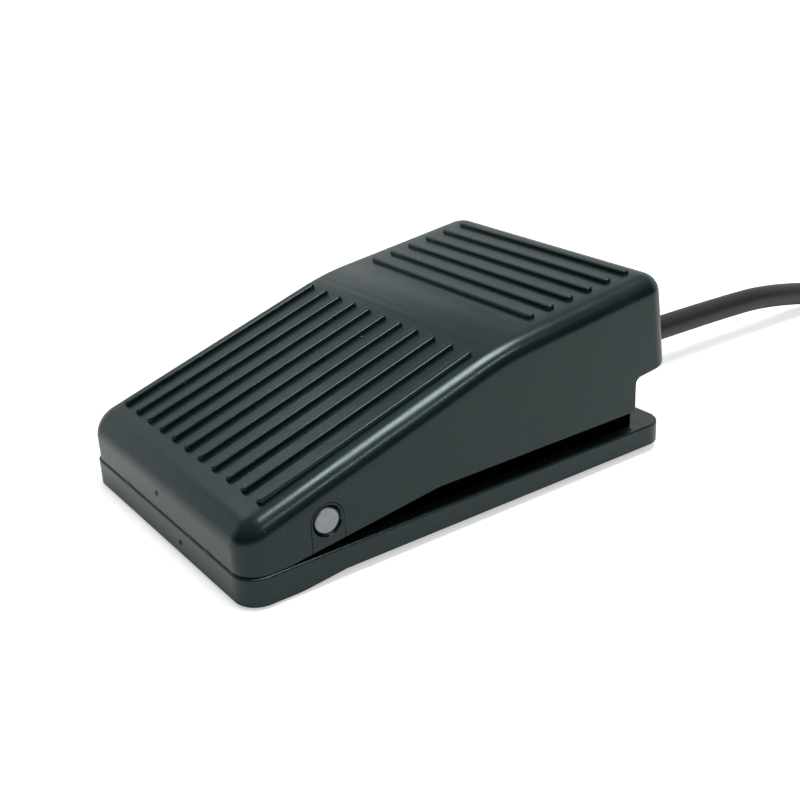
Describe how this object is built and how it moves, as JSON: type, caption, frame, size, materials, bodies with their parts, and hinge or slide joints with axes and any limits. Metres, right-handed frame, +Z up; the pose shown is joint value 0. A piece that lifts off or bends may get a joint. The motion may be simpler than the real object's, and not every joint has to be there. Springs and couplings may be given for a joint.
{
  "type": "foot pedal switch",
  "caption": "Foot pedal switch: ribbed wedge cover hinged on a flat base, sprung micro switch inside, short lead with bare ends.",
  "frame": {"origin": "on the floor below the middle of the switch without its lead", "axes": "+X across the width to the right when facing the lead's end from the front, +Y from the hinge towards the lead, +Z up"},
  "size_m": [0.068, 0.236, 0.0395],
  "materials": {
    "black_plastic": "satin",
    "foot_rubber": "matte",
    "lead_rubber": "satin",
    "pin_steel": "satin",
    "spring_steel": "satin",
    "screw_steel": "plated",
    "switch_plastic": "matte",
    "plunger_plastic": "gloss",
    "contact_brass": "satin",
    "terminal_brass": "plated",
    "core_a": "satin",
    "core_b": "satin",
    "core_c": "satin",
    "tinned_copper": "tinned"
  },
  "bodies": {
    "base": {"base_tray": "black_plastic", "foot_front_left": "foot_rubber", "foot_front_right": "foot_rubber", "foot_rear_left": "foot_rubber", "foot_rear_right": "foot_rubber", "hinge_pin": "pin_steel", "return_spring": "spring_steel", "switch_case": "switch_plastic", "switch_lid": "switch_plastic", "terminal_common": "terminal_brass", "terminal_open": "terminal_brass", "terminal_closed": "terminal_brass", "switch_screws": "screw_steel", "switch_nuts": "screw_steel", "switch_lever_pin": "pin_steel", "cord_bushing": "lead_rubber", "cord_clamp": "black_plastic", "clamp_screws": "screw_steel", "cord_sheath": "lead_rubber", "wire_common": "core_a", "wire_open": "core_b", "wire_closed": "core_c", "lead_common": "core_a", "lead_open": "core_b", "lead_closed": "core_c", "lead_tips": "tinned_copper"},
    "pedal": {"pedal_cover": "black_plastic"},
    "lever": {"switch_lever": "spring_steel"},
    "plunger": {"switch_plunger": "plunger_plastic"},
    "blade": {"contact_blade": "contact_brass"}
  },
  "joints": [
    {"name": "pedal_hinge", "type": "hinge", "parent": "base", "child": "pedal", "pos_m": [0, -0.03483, 0.0124], "axis": [1, 0, 0], "range_deg": [-3.2, 0], "stiffness_Nm_per_rad": 2, "springref_deg": 8.59, "deforming": ["return_spring"]},
    {"name": "lever_pivot", "type": "hinge", "parent": "base", "child": "lever", "pos_m": [0.013, 0.03377, 0.0292], "axis": [1, 0, 0], "range_deg": [0, 7.7]},
    {"name": "plunger_slide", "type": "slide", "parent": "base", "child": "plunger", "axis": [0, 0, 1], "range_m": [-0.00052, 0]},
    {"name": "blade_pivot", "type": "hinge", "parent": "base", "child": "blade", "pos_m": [0.013, 0.01358, 0.02195], "axis": [1, 0, 0], "range_deg": [-2.6, 0]}
  ],
  "couplings": [
    {"joint": "lever_pivot", "follows": "pedal_hinge", "ratio": -2.37},
    {"joint": "plunger_slide", "follows": "pedal_hinge", "m_per_rad": 0.00895},
    {"joint": "blade_pivot", "follows": "pedal_hinge", "ratio": 0.78}
  ]
}
